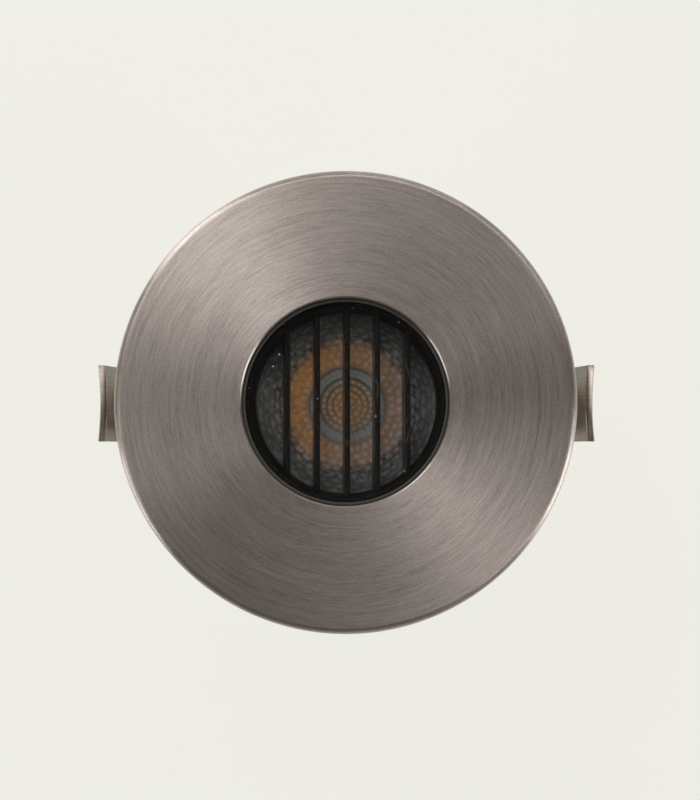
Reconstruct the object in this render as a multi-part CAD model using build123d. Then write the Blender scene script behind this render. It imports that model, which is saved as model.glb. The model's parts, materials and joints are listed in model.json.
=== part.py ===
from build123d import *

import os
from math import cos, hypot, radians, sin, sqrt

# In-ground light: a stainless rim plate on a sealed aluminium body, a louvred
# lens behind glass, and two spring clips that hold it in a round cut-out.
# Millimetres. The origin is on the axis, level with the ground that the seal
# rests on. +Z points out of the ground and the spring clips lie along X.

# Light source
PHOSPHOR_D = 9.0
PHOSPHOR_T = 0.4
LED_BOARD_T = 1.0
PAD_ROOM = 2.05
THERMAL_PAD_T = 0.3
THERMAL_PAD_INSET = 0.3

# Lens
LENS_D = 35.0
LENS_H = 15.6
LENS_FLANGE_W = 1.5
LENS_FLANGE_T = 1.5
LENS_BULGE = 1.1
CAVITY_GAP = 1.25
CAVITY_DEPTH = 6.0
CAVITY_CROWN = 1.2
FOOT_WALL = 1.75
FOOT_H = 1.6
FOOT_GAP = 0.3

# Lens holder
LENS_GAP = 0.2
HOLDER_WALL = 1.8
LEDGE_W = 1.2
LEDGE_T = 1.5
EAR_W = 6.0
EAR_T = 2.2
EAR_HEAD_GAP = 0.3

# Louvre
LOUVRE_H = 6.8
LENS_LAP = 1.75
BEVEL_W = 1.0
BEVEL_H = 1.8
BLADE_COUNT = 5
BLADE_PITCH = 5.25
BLADE_TOP_T = 1.0
BLADE_FOOT_T = 1.35
BLADE_DROP = 0.5
SPIGOT_W = 1.2
SPIGOT_H = 0.3

# Glass and what clamps it
GLASS_T = 4.0
GLASS_LAP = 4.0
GLASS_EDGE = 0.4
GLASS_GAP = 0.2
GLASS_BEARING = 2.2
GASKET_T = 0.5
GASKET_SIGHT = 0.65
CUSHION_T = 0.8
LOUVRE_GAP = 0.3
RETAINER_T = 3.5
RETAINER_GAP = 0.3
SPANNER_SLOT_W = 3.0
SPANNER_SLOT_DEPTH = 1.5

# Bezel
BEZEL_T = 3.0
LIP_T = 1.2
EDGE_R = 1.0
UNDER_EDGE = 0.3
APERTURE_EDGE = 0.25
BORE_STEP = 1.8
STEP_RISE = 0.4
SKIRT_WALL = 4.0
SKIRT_EXTRA = 2.3
THREAD_GAP = 0.1

# Seal under the rim
SEAL_W = 4.6
SEAL_PROUD = 0.3
SEAL_SINK = 1.0
SEAL_CLEAR = 1.8
SEAL_INSET = 1.6
SEAL_GAP = 0.2

# Body
BODY_WALL = 3.9
THREAD_RUNOUT = 2.0
BORE_SHOULDER = 2.1
SPREADER_SHOULDER = 1.5
BODY_EDGE = 0.6
O_RING_W = 1.9
O_RING_T = 1.4
O_RING_CORNER = 0.55
O_RING_GAP = 0.05
GROOVE_COUNT = 4
GROOVE_W = 1.6
GROOVE_PITCH = 3.4
GROOVE_DEPTH = 1.2
GROOVE_RISE = 3.2
CUT_PAST = 1.0
FLAT_DEPTH = 1.5
FLAT_MARGIN = 1.2
COLUMN_R = 3.0
COLUMN_L = 10.0

# Heat spreader
SPREADER_T = 6.0
SPREADER_GAP = 0.2

# Screws
M3_R = 1.5
M3_HEAD_R = 2.75
M3_HEAD_H = 1.3
M25_R = 1.25
M25_HEAD_R = 2.25
M25_HEAD_H = 1.5
HEAD_SIDE_SHARE = 0.6
HEAD_TOP_SHARE = 0.8
SOCKET_SHARE = 0.55
SOCKET_DEPTH = 0.7
TAP_GAP = 0.05
SCREW_GAP = 0.15
HOLE_EXTRA = 0.4
SPREADER_SCREW_BITE = 6.0
HOLDER_SCREW_BITE = 3.5
CLIP_SCREW_BITE = 2.8
CAP_SCREW_BITE = 6.0
BOARD_SCREW_BITE = 3.0

# Driver board
STANDOFF_H = 5.0
STANDOFF_R = 2.2
STANDOFF_EDGE = 0.8
BOARD_T = 1.6
BOARD_GAP = 0.4
PART_EDGE = 1.0
CAPACITOR_R = 4.0
CAPACITOR_H = 12.0
CAPACITOR_CORNER = 0.8
CRIMP_DROP = 1.8
CRIMP_H = 0.75
CRIMP_DEPTH = 0.32
INDUCTOR_R = 4.5
INDUCTOR_H = 8.0
INDUCTOR_FLANGE = 1.2
INDUCTOR_WAIST = 0.9
CHIP_L = 5.0
CHIP_W = 4.0
CHIP_H = 1.5
CHIP_LEG_COUNT = 4
CHIP_LEG_W = 0.42
CHIP_LEG_REACH = 1.0
CHIP_LEG_T = 0.25
TERMINAL_L = 10.0
TERMINAL_W = 8.0
TERMINAL_H = 9.0
TERMINAL_PITCH = 5.0
TERMINAL_ENTRY_R = 1.6
TERMINAL_ENTRY_DROP = 4.0
TERMINAL_ENTRY_DEPTH = 5.6
TERMINAL_SCREW_R = 1.5
TERMINAL_SCREW_DEPTH = 1.8
TERMINAL_SCREW_OFFSET = 0.8
TERMINAL_EDGE = 0.6
WIRING_ROOM = 6.4

# LED leads
LEAD_D = 1.2
LEAD_START_GAP = 0.3
LEAD_RUN = 1.6
LEAD_BEND = 2.0
LEAD_HOLE_GAP = 0.4

# Rear cap
REAR_GASKET_T = 0.8
REAR_GASKET_INSET = 0.3
CAP_T = 4.0
CAP_EDGE = 1.0
CAP_BOSS_H = 2.0
CAP_BOSS_MARGIN = 1.6
CAP_BOSS_EDGE = 0.6
COUNTERBORE_GAP = 0.3
COUNTERBORE_DEPTH = 1.6

# Cable gland
CABLE_BORE_D = 6.0
GLAND_SEAL_WALL = 1.7
GLAND_WALL = 1.1
GLAND_GAP = 0.1
GLAND_AF_MARGIN = 1.6
GLAND_HEX_H = 4.0
GLAND_SPIGOT_PROUD = 1.0
GLAND_BODY_BORE_EXTRA = 0.6
GLAND_NECK_L = 7.0
GLAND_O_RING_T = 1.0
GLAND_O_RING_INSET = 0.3
GLAND_SEAL_PROUD = 0.6
CLAW_H = 1.8
CLAW_SLOTS = 8
CLAW_SLOT_W = 0.8
NUT_WALL = 1.5
NUT_FLOOR_T = 1.7
NUT_GAP = 0.4
NUT_MOUTH_EXTRA = 0.5
NUT_DOME_H = 4.0
NUT_DOME_INSET = 2.6
HEX_EDGE = 0.5

# Spring clips
CLIP_T = 0.5
CLIP_W = 12.6
CLIP_TIP_W = 13.4
CLIP_REACH = 11.3
CLIP_LEAN = 15.0
CLIP_BEND_R = 1.2
CLIP_TIP_DROP = 5.3
CLIP_FOOT_DROP = 14.0
CLIP_FOOT_CORNER = 2.0
CLIP_BOW = 0.5
CLIP_BOW_START = 10.0
CLIP_LIP_L = 1.0
CLIP_LIP_TURN = 55.0
CLIP_SCREW_INSET = 4.5
CLIP_ACCESS_R = 2.75

SAME = 1e-4
QUARTERS = (0, 90, 180, 270)
DIAGONALS = (45, 135, 225, 315)
LEAD_ANGLES = (45, 225)

# Radii, from the lens outwards
phosphor_r = PHOSPHOR_D / 2
cavity_r = phosphor_r + CAVITY_GAP
foot_r = cavity_r + FOOT_WALL
lens_r = LENS_D / 2
lens_seat_r = lens_r + LENS_GAP
holder_r = lens_seat_r + HOLDER_WALL
louvre_r = holder_r
opening_r = lens_r - LENS_LAP
retainer_bore_r = louvre_r + RETAINER_GAP
glass_r = retainer_bore_r + GLASS_BEARING
aperture_r = glass_r - GLASS_LAP
pocket_r = glass_r + GLASS_GAP
skirt_bore_r = pocket_r + BORE_STEP
skirt_r = skirt_bore_r + SKIRT_WALL
body_thread_r = skirt_r + THREAD_GAP
body_r = body_thread_r + BODY_WALL
body_bore_r = body_thread_r - BORE_SHOULDER
chamber_r = body_bore_r - SPREADER_SHOULDER
column_place_r = chamber_r - SPREADER_SHOULDER
spreader_r = body_bore_r - SPREADER_GAP
seal_r = body_r + SEAL_CLEAR
bezel_r = seal_r + SEAL_W + SEAL_INSET
driver_r = column_place_r - COLUMN_R - BOARD_GAP
standoff_place_r = driver_r - STANDOFF_R - STANDOFF_EDGE
ear_screw_r = holder_r + M25_HEAD_R + EAR_HEAD_GAP
cap_screw_r = (chamber_r + body_r) / 2
lead_place_r = foot_r + LEAD_START_GAP + LEAD_RUN + LEAD_BEND
board_side = sqrt(2) * (foot_r + PAD_ROOM)

# Heights, from the ground downwards
rim_z = SEAL_PROUD
face_z = rim_z + BEZEL_T
lip_z = face_z - LIP_T
glass_top_z = lip_z - GASKET_T
glass_z = glass_top_z - GLASS_T
cushion_z = glass_z - CUSHION_T
retainer_z = cushion_z - RETAINER_T
skirt_z = retainer_z - SKIRT_EXTRA
louvre_top_z = glass_z - LOUVRE_GAP
louvre_z = louvre_top_z - LOUVRE_H
lens_top_z = louvre_z - SPIGOT_H
flange_z = lens_top_z - LENS_FLANGE_T
foot_z = lens_top_z - LENS_H
led_top_z = foot_z - FOOT_GAP
led_board_z = led_top_z - LED_BOARD_T
spreader_top_z = led_board_z - THERMAL_PAD_T
spreader_z = spreader_top_z - SPREADER_T
driver_top_z = spreader_z - STANDOFF_H
driver_z = driver_top_z - BOARD_T
body_z = driver_z - CAPACITOR_H - WIRING_ROOM
cap_top_z = body_z - REAR_GASKET_T
cap_z = cap_top_z - CAP_T
boss_z = cap_z - CAP_BOSS_H
hex_top_z = boss_z - GLAND_O_RING_T
hex_z = hex_top_z - GLAND_HEX_H
neck_z = hex_z - GLAND_NECK_L
claw_z = neck_z - CLAW_H
nut_z = claw_z - NUT_FLOOR_T

# Gland radii, from the cable outwards
cable_r = CABLE_BORE_D / 2
gland_seal_r = cable_r + GLAND_SEAL_WALL
neck_bore_r = gland_seal_r + GLAND_GAP
gland_thread_r = neck_bore_r + GLAND_WALL
nut_bore_r = gland_thread_r + GLAND_GAP
gland_flat_r = nut_bore_r + NUT_WALL
gland_flange_r = gland_flat_r + GLAND_AF_MARGIN
boss_r = gland_flange_r + CAP_BOSS_MARGIN

# Spring clip places, for the clip on the +X side
clip_flat_x = body_r - FLAT_DEPTH
clip_face_x = clip_flat_x + CLIP_T
clip_bend_x = clip_face_x + CLIP_BEND_R
clip_tip_x = body_r + CLIP_REACH
clip_foot_z = rim_z - CLIP_FOOT_DROP
lip_lean = CLIP_LEAN + CLIP_LIP_TURN
lip_reach = CLIP_LIP_L * sin(radians(lip_lean))
lip_rise = CLIP_LIP_L * cos(radians(lip_lean))
mitre_lean = CLIP_LEAN + CLIP_LIP_TURN / 2
mitre_stretch = 1 / cos(radians(CLIP_LIP_TURN / 2))
lip_depth = CLIP_T * mitre_stretch * cos(radians(mitre_lean))
hinge_x = clip_bend_x + CLIP_BEND_R * cos(radians(CLIP_LEAN))
leaf_run = clip_tip_x - lip_depth - lip_reach - hinge_x
leaf_l = leaf_run / sin(radians(CLIP_LEAN))
leaf_top_z = rim_z - CLIP_TIP_DROP - lip_rise
hinge_z = leaf_top_z - leaf_l * cos(radians(CLIP_LEAN))
clip_bend_z = hinge_z + CLIP_BEND_R * sin(radians(CLIP_LEAN))
clip_screw_zs = (clip_foot_z - CLIP_SCREW_INSET, clip_bend_z + CLIP_SCREW_INSET)


def turned(*outline):
    """Solid turned about Z from a closed outline of (radius, height) points."""
    return revolve(Plane.XZ * make_face(Polyline(*outline, close=True)), Axis.Z)


def disc(radius, bottom, top):
    """Upright cylinder between two heights."""
    return Pos(0, 0, bottom) * extrude(Circle(radius), top - bottom)


def ring(outer, inner, bottom, top):
    """Flat ring between two heights."""
    return Pos(0, 0, bottom) * extrude(Circle(outer) - Circle(inner), top - bottom)


def block(length, width, bottom, top, x=0.0, y=0.0):
    """Upright block, centred on x and y, between two heights."""
    return Pos(x, y, bottom) * extrude(Rectangle(length, width), top - bottom)


def hexagon(flat_radius, bottom, top):
    """Hexagonal prism whose flats lie at flat_radius from the axis."""
    outline = RegularPolygon(flat_radius, 6, major_radius=False)
    return Pos(0, 0, bottom) * extrude(outline, top - bottom)


def circles(part, radius, height):
    """The part's circular edges of one radius at one height."""
    edges = part.edges().filter_by(GeomType.CIRCLE)
    return edges.filter_by(
        lambda e: abs(e.radius - radius) < SAME and abs(e.arc_center.Z - height) < SAME
    )


def around(part, radius, angles):
    """Copies of a part at one radius and several angles about Z."""
    return [Rot(0, 0, angle) * Pos(radius, 0, 0) * part for angle in angles]


def cut_all(part, tools):
    """The part less each tool in turn."""
    for tool in tools:
        part = part - tool
    return part


def screw(shank_r, head_r, head_h, length):
    """Screw that points down, with the underside of its head at height 0."""
    head = turned(
        (0, 0),
        (head_r, 0),
        (head_r, head_h * HEAD_SIDE_SHARE),
        (head_r * HEAD_TOP_SHARE, head_h),
        (0, head_h),
    )
    socket = hexagon(head_r * SOCKET_SHARE, head_h - SOCKET_DEPTH, head_h)
    return head + disc(shank_r, -length, 0) - socket


def bezel():
    """Rim plate, lip over the glass and threaded skirt, turned from one bar."""
    groove_in = seal_r - SEAL_GAP
    groove_out = seal_r + SEAL_W + SEAL_GAP
    plate = turned(
        (aperture_r, face_z),
        (bezel_r, face_z),
        (bezel_r, rim_z),
        (groove_out, rim_z),
        (groove_out, rim_z + SEAL_SINK),
        (groove_in, rim_z + SEAL_SINK),
        (groove_in, rim_z),
        (skirt_r, rim_z),
        (skirt_r, skirt_z),
        (skirt_bore_r, skirt_z),
        (skirt_bore_r, glass_z + STEP_RISE),
        (pocket_r, glass_z + STEP_RISE),
        (pocket_r, lip_z),
        (aperture_r, lip_z),
    )
    plate = fillet(circles(plate, bezel_r, face_z), EDGE_R)
    plate = chamfer(circles(plate, bezel_r, rim_z), UNDER_EDGE)
    return chamfer(circles(plate, aperture_r, face_z), APERTURE_EDGE)


def bezel_seal():
    """Flat foam ring in the groove under the rim, proud of it."""
    return ring(seal_r + SEAL_W, seal_r, rim_z - SEAL_PROUD, rim_z + SEAL_SINK)


def glass_gasket():
    """Thin ring between the lip and the glass, seen as a dark line."""
    return ring(glass_r, aperture_r - GASKET_SIGHT, glass_top_z, lip_z)


def glass():
    """Round toughened window with ground edges."""
    pane = disc(glass_r, glass_z, glass_top_z)
    edges = circles(pane, glass_r, glass_z) + circles(pane, glass_r, glass_top_z)
    return chamfer(edges, GLASS_EDGE)


def glass_cushion():
    """Soft ring between the glass and the retaining ring."""
    return ring(skirt_bore_r - THREAD_GAP, retainer_bore_r, cushion_z, glass_z)


def retaining_ring():
    """Threaded ring that clamps the glass, with two spanner slots."""
    outer = skirt_bore_r - THREAD_GAP
    plain = ring(outer, retainer_bore_r, retainer_z, cushion_z)
    slot = block(
        2 * outer, SPANNER_SLOT_W, retainer_z, retainer_z + SPANNER_SLOT_DEPTH
    )
    return plain - slot


def louvre_ring():
    """Outer ring of the louvre, with a bevelled mouth and a locating spigot."""
    spigot_r = opening_r + SPIGOT_W
    return turned(
        (louvre_r, louvre_top_z),
        (opening_r + BEVEL_W, louvre_top_z),
        (opening_r, louvre_top_z - BEVEL_H),
        (opening_r, lens_top_z),
        (spigot_r, lens_top_z),
        (spigot_r, louvre_z),
        (louvre_r, louvre_z),
    )


def louvre_blade(x):
    """One straight blade along Y, thicker at its foot for mould draft."""
    top = louvre_top_z - BLADE_DROP
    section = Polyline(
        (x - BLADE_TOP_T / 2, top),
        (x + BLADE_TOP_T / 2, top),
        (x + BLADE_FOOT_T / 2, louvre_z),
        (x - BLADE_FOOT_T / 2, louvre_z),
        close=True,
    )
    return extrude(Plane.XZ * make_face(section), louvre_r, both=True)


def louvre():
    """Black louvre: ring and parallel blades, moulded in one piece."""
    first = -BLADE_PITCH * (BLADE_COUNT - 1) / 2
    blades = [louvre_blade(first + BLADE_PITCH * i) for i in range(BLADE_COUNT)]
    reach = disc(opening_r + BEVEL_W, louvre_z, louvre_top_z)
    part = louvre_ring()
    for blade in blades:
        part = part + (blade & reach)
    return part


def lens():
    """TIR lens: seating flange, bulging reflector wall and a cavity over the LED."""
    wall_top_r = lens_r - LENS_FLANGE_W
    wall_z = foot_z + FOOT_H
    ceiling_z = foot_z + CAVITY_DEPTH
    mid_r = (foot_r + wall_top_r) / 2 + LENS_BULGE
    mid_z = (wall_z + flange_z) / 2 - LENS_BULGE
    crown_r = (cavity_r**2 + CAVITY_CROWN**2) / (2 * CAVITY_CROWN)
    crown_centre_z = ceiling_z - CAVITY_CROWN + crown_r
    crown_mid_z = crown_centre_z - sqrt(crown_r**2 - (cavity_r / 2) ** 2)
    rim = Polyline(
        (0, lens_top_z),
        (lens_r, lens_top_z),
        (lens_r, flange_z),
        (wall_top_r, flange_z),
    )
    wall = ThreePointArc((wall_top_r, flange_z), (mid_r, mid_z), (foot_r, wall_z))
    foot = Polyline(
        (foot_r, wall_z), (foot_r, foot_z), (cavity_r, foot_z), (cavity_r, ceiling_z)
    )
    crown = ThreePointArc(
        (cavity_r, ceiling_z),
        (cavity_r / 2, crown_mid_z),
        (0, ceiling_z - CAVITY_CROWN),
    )
    core = Line((0, ceiling_z - CAVITY_CROWN), (0, lens_top_z))
    return revolve(Plane.XZ * make_face(rim + wall + foot + crown + core), Axis.Z)


def lens_holder():
    """Black tube with a ledge for the lens flange and two screwed feet."""
    ledge_r = lens_seat_r - LEDGE_W
    ledge_z = flange_z - LEDGE_T
    tube = turned(
        (holder_r, louvre_z),
        (lens_seat_r, louvre_z),
        (lens_seat_r, flange_z),
        (ledge_r, flange_z),
        (ledge_r, ledge_z),
        (lens_seat_r, ledge_z - LEDGE_W),
        (lens_seat_r, spreader_top_z),
        (holder_r, spreader_top_z),
    )
    ear_top = spreader_top_z + EAR_T
    bar = block(2 * ear_screw_r, EAR_W, spreader_top_z, ear_top)
    pads = around(disc(EAR_W / 2, spreader_top_z, ear_top), ear_screw_r, (0, 180))
    ears = bar + pads[0] + pads[1] - disc(lens_seat_r, spreader_top_z, ear_top)
    hole = disc(M25_R + SCREW_GAP, spreader_top_z, ear_top)
    return cut_all(tube + ears, around(hole, ear_screw_r, (0, 180)))


def holder_screws():
    """Two screws through the holder's feet into the heat spreader."""
    one = screw(M25_R, M25_HEAD_R, M25_HEAD_H, EAR_T + HOLDER_SCREW_BITE)
    seated = Pos(0, 0, spreader_top_z + EAR_T) * one
    return Compound(around(seated, ear_screw_r, (0, 180)))


def led_board():
    """Square metal-core board under the lens foot."""
    return block(board_side, board_side, led_board_z, led_top_z)


def led_phosphor():
    """Round yellow phosphor field on the LED board."""
    return disc(phosphor_r, led_top_z, led_top_z + PHOSPHOR_T)


def thermal_pad():
    """Soft pad between the LED board and the heat spreader."""
    side = board_side - 2 * THERMAL_PAD_INSET
    return block(side, side, spreader_top_z, led_board_z)


def heat_spreader():
    """Thick aluminium disc that carries the LED and closes the driver chamber."""
    part = disc(spreader_r, spreader_z, spreader_top_z)
    through = disc(M25_R + SCREW_GAP, spreader_z, spreader_top_z)
    tapped = disc(
        M25_R + TAP_GAP,
        spreader_top_z - HOLDER_SCREW_BITE - HOLE_EXTRA,
        spreader_top_z,
    )
    lead = disc(LEAD_D / 2 + LEAD_HOLE_GAP, spreader_z, spreader_top_z)
    standoff = disc(
        M25_R + TAP_GAP, spreader_z, spreader_z + BOARD_SCREW_BITE + HOLE_EXTRA
    )
    part = cut_all(part, around(through, column_place_r, DIAGONALS))
    part = cut_all(part, around(tapped, ear_screw_r, (0, 180)))
    part = cut_all(part, around(standoff, standoff_place_r, QUARTERS))
    return cut_all(part, around(lead, lead_place_r, LEAD_ANGLES))


def spreader_screws():
    """Screws through the heat spreader into the body's columns."""
    one = screw(M25_R, M25_HEAD_R, M25_HEAD_H, SPREADER_T + SPREADER_SCREW_BITE)
    seated = Pos(0, 0, spreader_top_z) * one
    return Compound(around(seated, column_place_r, DIAGONALS))


def led_lead(angle):
    """Insulated wire from a corner pad of the LED board down to the driver board."""
    lead_r = LEAD_D / 2
    start_r = foot_r + LEAD_START_GAP
    top_z = led_top_z + lead_r
    path = FilletPolyline(
        (start_r, 0, top_z),
        (lead_place_r, 0, top_z),
        (lead_place_r, 0, driver_top_z),
        radius=LEAD_BEND,
    )
    start = Plane((start_r, 0, top_z), x_dir=(0, 1, 0), z_dir=(1, 0, 0))
    return Rot(0, 0, angle) * sweep(start * Circle(lead_r), path)


def clip_side_tools():
    """Flat and tapped holes that the +X clip needs in the body."""
    top = clip_foot_z + FLAT_MARGIN
    bottom = clip_bend_z - CLIP_BEND_R - CLIP_T - FLAT_MARGIN
    centre_x = clip_flat_x + body_r / 2
    flat = block(body_r, 2 * body_r, bottom, top, x=centre_x)
    depth = CLIP_SCREW_BITE + HOLE_EXTRA
    drill = Pos(clip_flat_x - depth, 0, 0) * Rot(0, 90, 0)
    hole = drill * disc(M3_R + TAP_GAP, 0, depth)
    return [flat] + [Pos(0, 0, z) * hole for z in clip_screw_zs]


def body():
    """Turned aluminium housing with cooling grooves and two flats for the clips."""
    thread_z = skirt_z - THREAD_RUNOUT
    tube = turned(
        (body_r, rim_z),
        (body_thread_r, rim_z),
        (body_thread_r, thread_z),
        (body_bore_r, thread_z),
        (body_bore_r, spreader_z),
        (chamber_r, spreader_z),
        (chamber_r, body_z),
        (body_r, body_z),
    )
    tube = chamfer(circles(tube, body_r, rim_z), BODY_EDGE)
    o_ring_mid = (body_thread_r + body_r) / 2
    half = O_RING_W / 2 + O_RING_GAP
    tools = [ring(o_ring_mid + half, o_ring_mid - half, rim_z - O_RING_T, rim_z)]
    for i in range(GROOVE_COUNT):
        low = body_z + GROOVE_RISE + GROOVE_PITCH * i
        tools.append(ring(body_r + CUT_PAST, body_r - GROOVE_DEPTH, low, low + GROOVE_W))
    right = clip_side_tools()
    tools += right + [Rot(0, 0, 180) * tool for tool in right]
    tapped = disc(M3_R + TAP_GAP, body_z, body_z + CAP_SCREW_BITE + HOLE_EXTRA)
    tools += around(tapped, cap_screw_r, DIAGONALS)
    tube = cut_all(tube, tools)
    column = disc(COLUMN_R, spreader_z - COLUMN_L, spreader_z)
    bite = SPREADER_SCREW_BITE + HOLE_EXTRA
    tapped = disc(M25_R + TAP_GAP, spreader_z - bite, spreader_z)
    for place in around(column, column_place_r, DIAGONALS):
        tube = tube + (place & disc(body_bore_r, spreader_z - COLUMN_L, spreader_z))
    return cut_all(tube, around(tapped, column_place_r, DIAGONALS))


def body_o_ring():
    """O-ring between the body's top edge and the bezel, as squeezed."""
    mid_r = (body_thread_r + body_r) / 2
    section = RectangleRounded(O_RING_W, O_RING_T, O_RING_CORNER)
    return revolve(Plane.XZ * Pos(mid_r, rim_z - O_RING_T / 2) * section, Axis.Z)


def driver_board():
    """Round circuit board that hangs below the heat spreader."""
    plain = disc(driver_r, driver_z, driver_top_z)
    hole = disc(M25_R + SCREW_GAP, driver_z, driver_top_z)
    return cut_all(plain, around(hole, standoff_place_r, QUARTERS))


def board_standoffs():
    """Tubular spacers between the heat spreader and the driver board."""
    one = ring(STANDOFF_R, M25_R + SCREW_GAP, driver_top_z, spreader_z)
    return Compound(around(one, standoff_place_r, QUARTERS))


def board_screws():
    """Screws up through the board and standoffs into the heat spreader."""
    length = BOARD_T + STANDOFF_H + BOARD_SCREW_BITE
    one = screw(M25_R, M25_HEAD_R, M25_HEAD_H, length)
    seated = Pos(0, 0, driver_z) * Rot(180, 0, 0) * one
    return Compound(around(seated, standoff_place_r, QUARTERS))


def on_board(part, half_size, angle):
    """A component below the driver board, near its edge, at one angle."""
    return around(part, driver_r - PART_EDGE - half_size, (angle,))[0]


def driver_capacitor():
    """Can capacitor, standing down from the driver board."""
    low = driver_z - CAPACITOR_H
    can = disc(CAPACITOR_R, low, driver_z)
    can = fillet(circles(can, CAPACITOR_R, low), CAPACITOR_CORNER)
    crimp_z = driver_z - CRIMP_DROP
    neck_r = CAPACITOR_R - CRIMP_DEPTH
    can = can - ring(CAPACITOR_R + CUT_PAST, neck_r, crimp_z - CRIMP_H, crimp_z)
    return on_board(can, CAPACITOR_R, DIAGONALS[0])


def driver_inductor():
    """Drum coil with a wound waist."""
    low = driver_z - INDUCTOR_H
    waist = INDUCTOR_R - INDUCTOR_WAIST
    coil = turned(
        (0, driver_z),
        (INDUCTOR_R, driver_z),
        (INDUCTOR_R, driver_z - INDUCTOR_FLANGE),
        (waist, driver_z - INDUCTOR_FLANGE),
        (waist, low + INDUCTOR_FLANGE),
        (INDUCTOR_R, low + INDUCTOR_FLANGE),
        (INDUCTOR_R, low),
        (0, low),
    )
    return on_board(coil, INDUCTOR_R, DIAGONALS[1])


def driver_chip():
    """Small flat chip with a row of legs on each side."""
    lift = CHIP_LEG_T
    low = driver_z - CHIP_H
    chip = block(CHIP_L, CHIP_W, low, driver_z - lift)
    pitch = CHIP_L / CHIP_LEG_COUNT
    first = -pitch * (CHIP_LEG_COUNT - 1) / 2
    leg_span = CHIP_W + 2 * CHIP_LEG_REACH
    for i in range(CHIP_LEG_COUNT):
        x = first + pitch * i
        chip = chip + block(CHIP_LEG_W, leg_span, driver_z - lift, driver_z, x=x)
    return on_board(chip, hypot(CHIP_L, leg_span) / 2, DIAGONALS[2])


def terminal_block():
    """Two-way screw terminal for the supply cable."""
    low = driver_z - TERMINAL_H
    part = block(TERMINAL_W, TERMINAL_L, low, driver_z)
    part = chamfer(part.faces().sort_by(Axis.Z)[0].edges(), TERMINAL_EDGE)
    screw_well = disc(TERMINAL_SCREW_R, low, low + TERMINAL_SCREW_DEPTH)
    for y in (-TERMINAL_PITCH / 2, TERMINAL_PITCH / 2):
        mouth = Pos(-TERMINAL_W / 2, y, driver_z - TERMINAL_ENTRY_DROP) * Rot(0, 90, 0)
        part = part - mouth * disc(TERMINAL_ENTRY_R, 0, TERMINAL_ENTRY_DEPTH)
        part = part - Pos(TERMINAL_SCREW_OFFSET, y, 0) * screw_well
    return on_board(part, hypot(TERMINAL_L, TERMINAL_W) / 2, DIAGONALS[3])


def rear_gasket():
    """Flat gasket between the body and the rear cap, around each screw."""
    inner = chamber_r + REAR_GASKET_INSET
    outer = body_r - REAR_GASKET_INSET
    plain = ring(outer, inner, cap_top_z, body_z)
    hole = disc(M3_R + SCREW_GAP, cap_top_z, body_z)
    return cut_all(plain, around(hole, cap_screw_r, DIAGONALS))


def rear_cap():
    """Screwed cap with a boss for the cable gland."""
    boss = disc(boss_r, boss_z, cap_z)
    boss = chamfer(circles(boss, boss_r, boss_z), CAP_BOSS_EDGE)
    part = fillet(
        circles(disc(body_r, cap_z, cap_top_z), body_r, cap_z), CAP_EDGE
    )
    part = part + boss - disc(gland_thread_r + GLAND_GAP, boss_z, cap_top_z)
    hole = disc(M3_R + SCREW_GAP, cap_z, cap_top_z)
    well = disc(M3_HEAD_R + COUNTERBORE_GAP, cap_z, cap_z + COUNTERBORE_DEPTH)
    part = cut_all(part, around(hole, cap_screw_r, DIAGONALS))
    return cut_all(part, around(well, cap_screw_r, DIAGONALS))


def cap_screws():
    """Screws up through the rear cap and gasket into the body."""
    seat_z = cap_z + COUNTERBORE_DEPTH
    length = body_z - seat_z + CAP_SCREW_BITE
    one = screw(M3_R, M3_HEAD_R, M3_HEAD_H, length)
    seated = Pos(0, 0, seat_z) * Rot(180, 0, 0) * one
    return Compound(around(seated, cap_screw_r, DIAGONALS))


def gland_o_ring():
    """Flat ring between the gland's flange and the cap's boss."""
    outer = gland_flange_r - GLAND_O_RING_INSET
    return ring(outer, gland_thread_r + GLAND_GAP, hex_top_z, boss_z)


def gland_body():
    """Threaded gland body: spigot in the cap, hexagonal flange and clamping neck."""
    spigot_z = cap_top_z + GLAND_SPIGOT_PROUD
    bore_r = cable_r + GLAND_BODY_BORE_EXTRA
    stem = turned(
        (gland_thread_r, spigot_z),
        (bore_r, spigot_z),
        (bore_r, hex_z),
        (neck_bore_r, hex_z),
        (neck_bore_r, neck_z),
        (gland_thread_r, neck_z),
    )
    flange = hexagon(gland_flange_r, hex_z, hex_top_z)
    flange = chamfer(flange.edges().group_by(Axis.Z)[0], HEX_EDGE)
    return stem + (flange - disc(bore_r, hex_z, hex_top_z))


def gland_seal():
    """Rubber sleeve that closes on the cable."""
    return ring(gland_seal_r, cable_r, neck_z - GLAND_SEAL_PROUD, hex_z)


def gland_claw():
    """Slotted ring that the nut presses onto the seal."""
    plain = ring(gland_thread_r, neck_bore_r, claw_z, neck_z)
    slot = block(
        2 * gland_thread_r, CLAW_SLOT_W, claw_z, neck_z - CLAW_H / 2, x=gland_thread_r
    )
    angles = [360 * i / CLAW_SLOTS for i in range(CLAW_SLOTS)]
    return cut_all(plain, [Rot(0, 0, angle) * slot for angle in angles])


def gland_nut():
    """Domed hexagonal nut over the gland's neck."""
    top = hex_z - NUT_GAP
    mouth_r = cable_r + NUT_MOUTH_EXTRA
    corner_r = gland_flat_r / cos(radians(30))
    dome = turned(
        (mouth_r, nut_z),
        (corner_r - NUT_DOME_INSET, nut_z),
        (corner_r, nut_z + NUT_DOME_H),
        (corner_r, top),
        (nut_bore_r, top),
        (nut_bore_r, claw_z),
        (mouth_r, claw_z),
    )
    return dome & hexagon(gland_flat_r, nut_z, top)


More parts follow.
